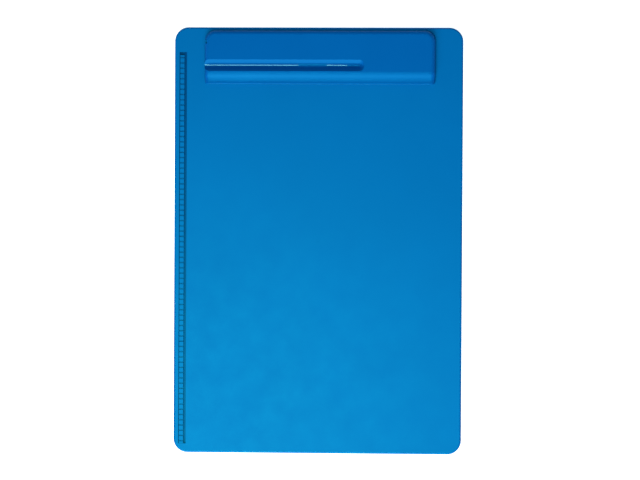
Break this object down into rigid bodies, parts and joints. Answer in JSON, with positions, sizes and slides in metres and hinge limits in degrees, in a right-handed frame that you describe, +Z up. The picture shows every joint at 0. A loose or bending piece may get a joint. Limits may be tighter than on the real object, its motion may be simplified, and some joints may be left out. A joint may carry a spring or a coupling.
{
  "type": "clipboard",
  "caption": "Flat moulded clipboard for A4 sheets with a wide sprung clip across one end, a pen trough sunk in the clip and a toothed marker track along one margin.",
  "frame": {"origin": "middle of the board's underside, on the surface that the board lies on", "axes": "+X to the right of a person reading the sheet, +Y towards the clip end, +Z up out of the writing face"},
  "size_m": [0.232, 0.343, 0.0094],
  "materials": {
    "board_plastic": "satin moulded polystyrene, mid blue, recycled grade",
    "clip_plastic": "satin moulded polystyrene, mid blue, recycled grade",
    "grip_rubber": "plain black rubber strip",
    "rod_steel": "bright drawn rod",
    "bracket_steel": "zinc plated pressed sheet",
    "rivet_steel": "zinc plated rivets",
    "spring_steel": "spring wire"
  },
  "bodies": {
    "board": {"writing_board": "board_plastic", "hinge_bracket_left": "bracket_steel", "hinge_bracket_right": "bracket_steel", "bracket_rivet_left_inner": "rivet_steel", "bracket_rivet_left_outer": "rivet_steel", "bracket_rivet_right_inner": "rivet_steel", "bracket_rivet_right_outer": "rivet_steel", "hinge_rod": "rod_steel", "torsion_spring_left": "spring_steel", "torsion_spring_right": "spring_steel"},
    "clip": {"clip_cover": "clip_plastic", "jaw_grip": "grip_rubber"}
  },
  "joints": [
    {"name": "clip_hinge", "type": "hinge", "parent": "board", "child": "clip", "pos_m": [0, 0.1525, 0.0049], "axis": [-1, 0, 0], "range_deg": [0, 12], "stiffness_Nm_per_rad": 0.5, "springref_deg": -17.19, "deforming": ["torsion_spring_left", "torsion_spring_right"]}
  ]
}
